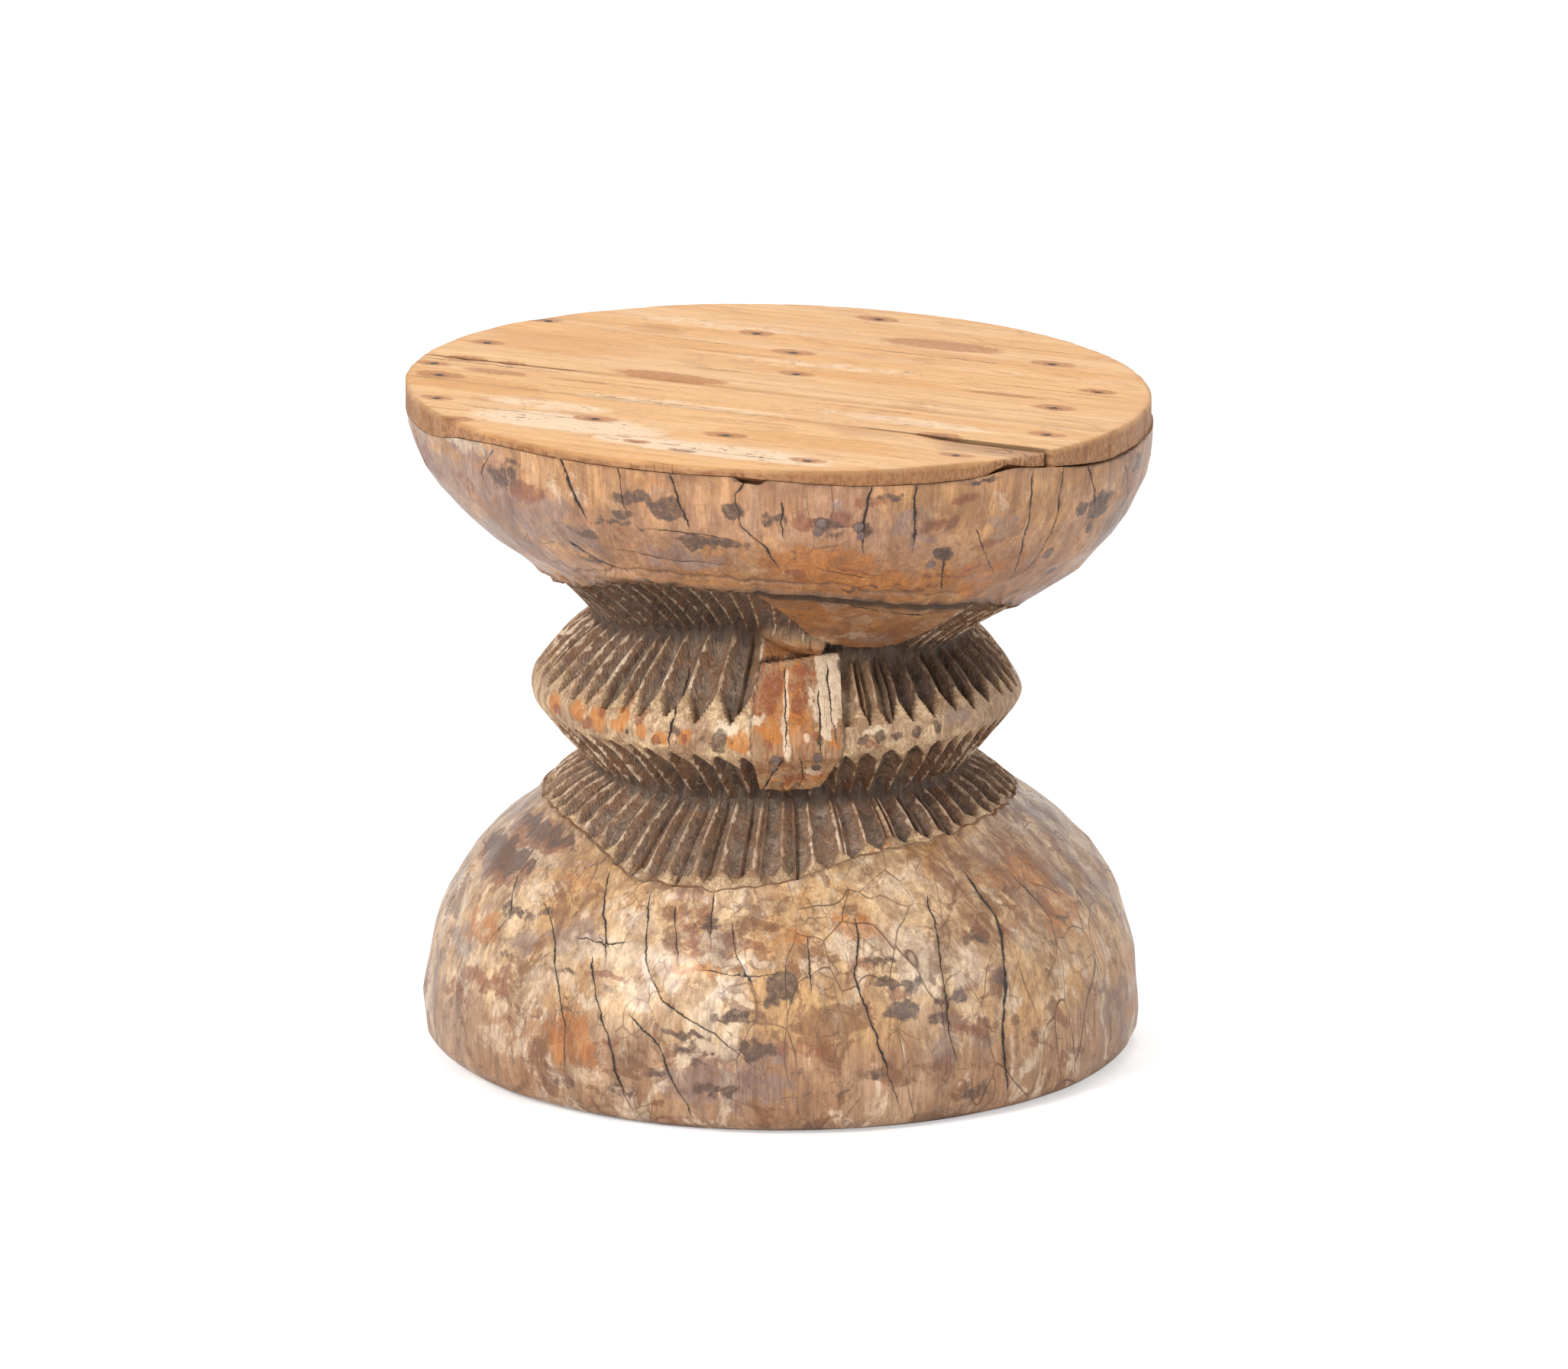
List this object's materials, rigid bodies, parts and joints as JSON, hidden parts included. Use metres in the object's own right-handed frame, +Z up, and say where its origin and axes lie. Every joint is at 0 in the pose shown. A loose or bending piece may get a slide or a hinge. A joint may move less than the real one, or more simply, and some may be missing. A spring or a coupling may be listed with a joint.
{
  "type": "drum table",
  "caption": "Low side table: a hollow carved log drum with a fluted ring waist and domed foot, closed by nailed oval top boards.",
  "frame": {"origin": "on the floor under the middle of the top", "axes": "+Z up; -Y is the front, where the plain panel on the ring is; +X is to the right seen from the front"},
  "size_m": [0.4989, 0.498, 0.45],
  "materials": {
    "shell_wood": "worn, burnished, checked",
    "board_wood": "sanded and waxed, long grain",
    "batten_wood": "rough sawn",
    "iron": "rust-black",
    "peg_wood": "dark end grain"
  },
  "bodies": {
    "root": {"drum_shell": "shell_wood", "rear_board": "board_wood", "middle_board": "board_wood", "front_board": "board_wood", "cross_batten": "batten_wood", "rim_nails": "iron", "batten_nails": "iron", "skin_pegs": "peg_wood"}
  },
  "joints": []
}
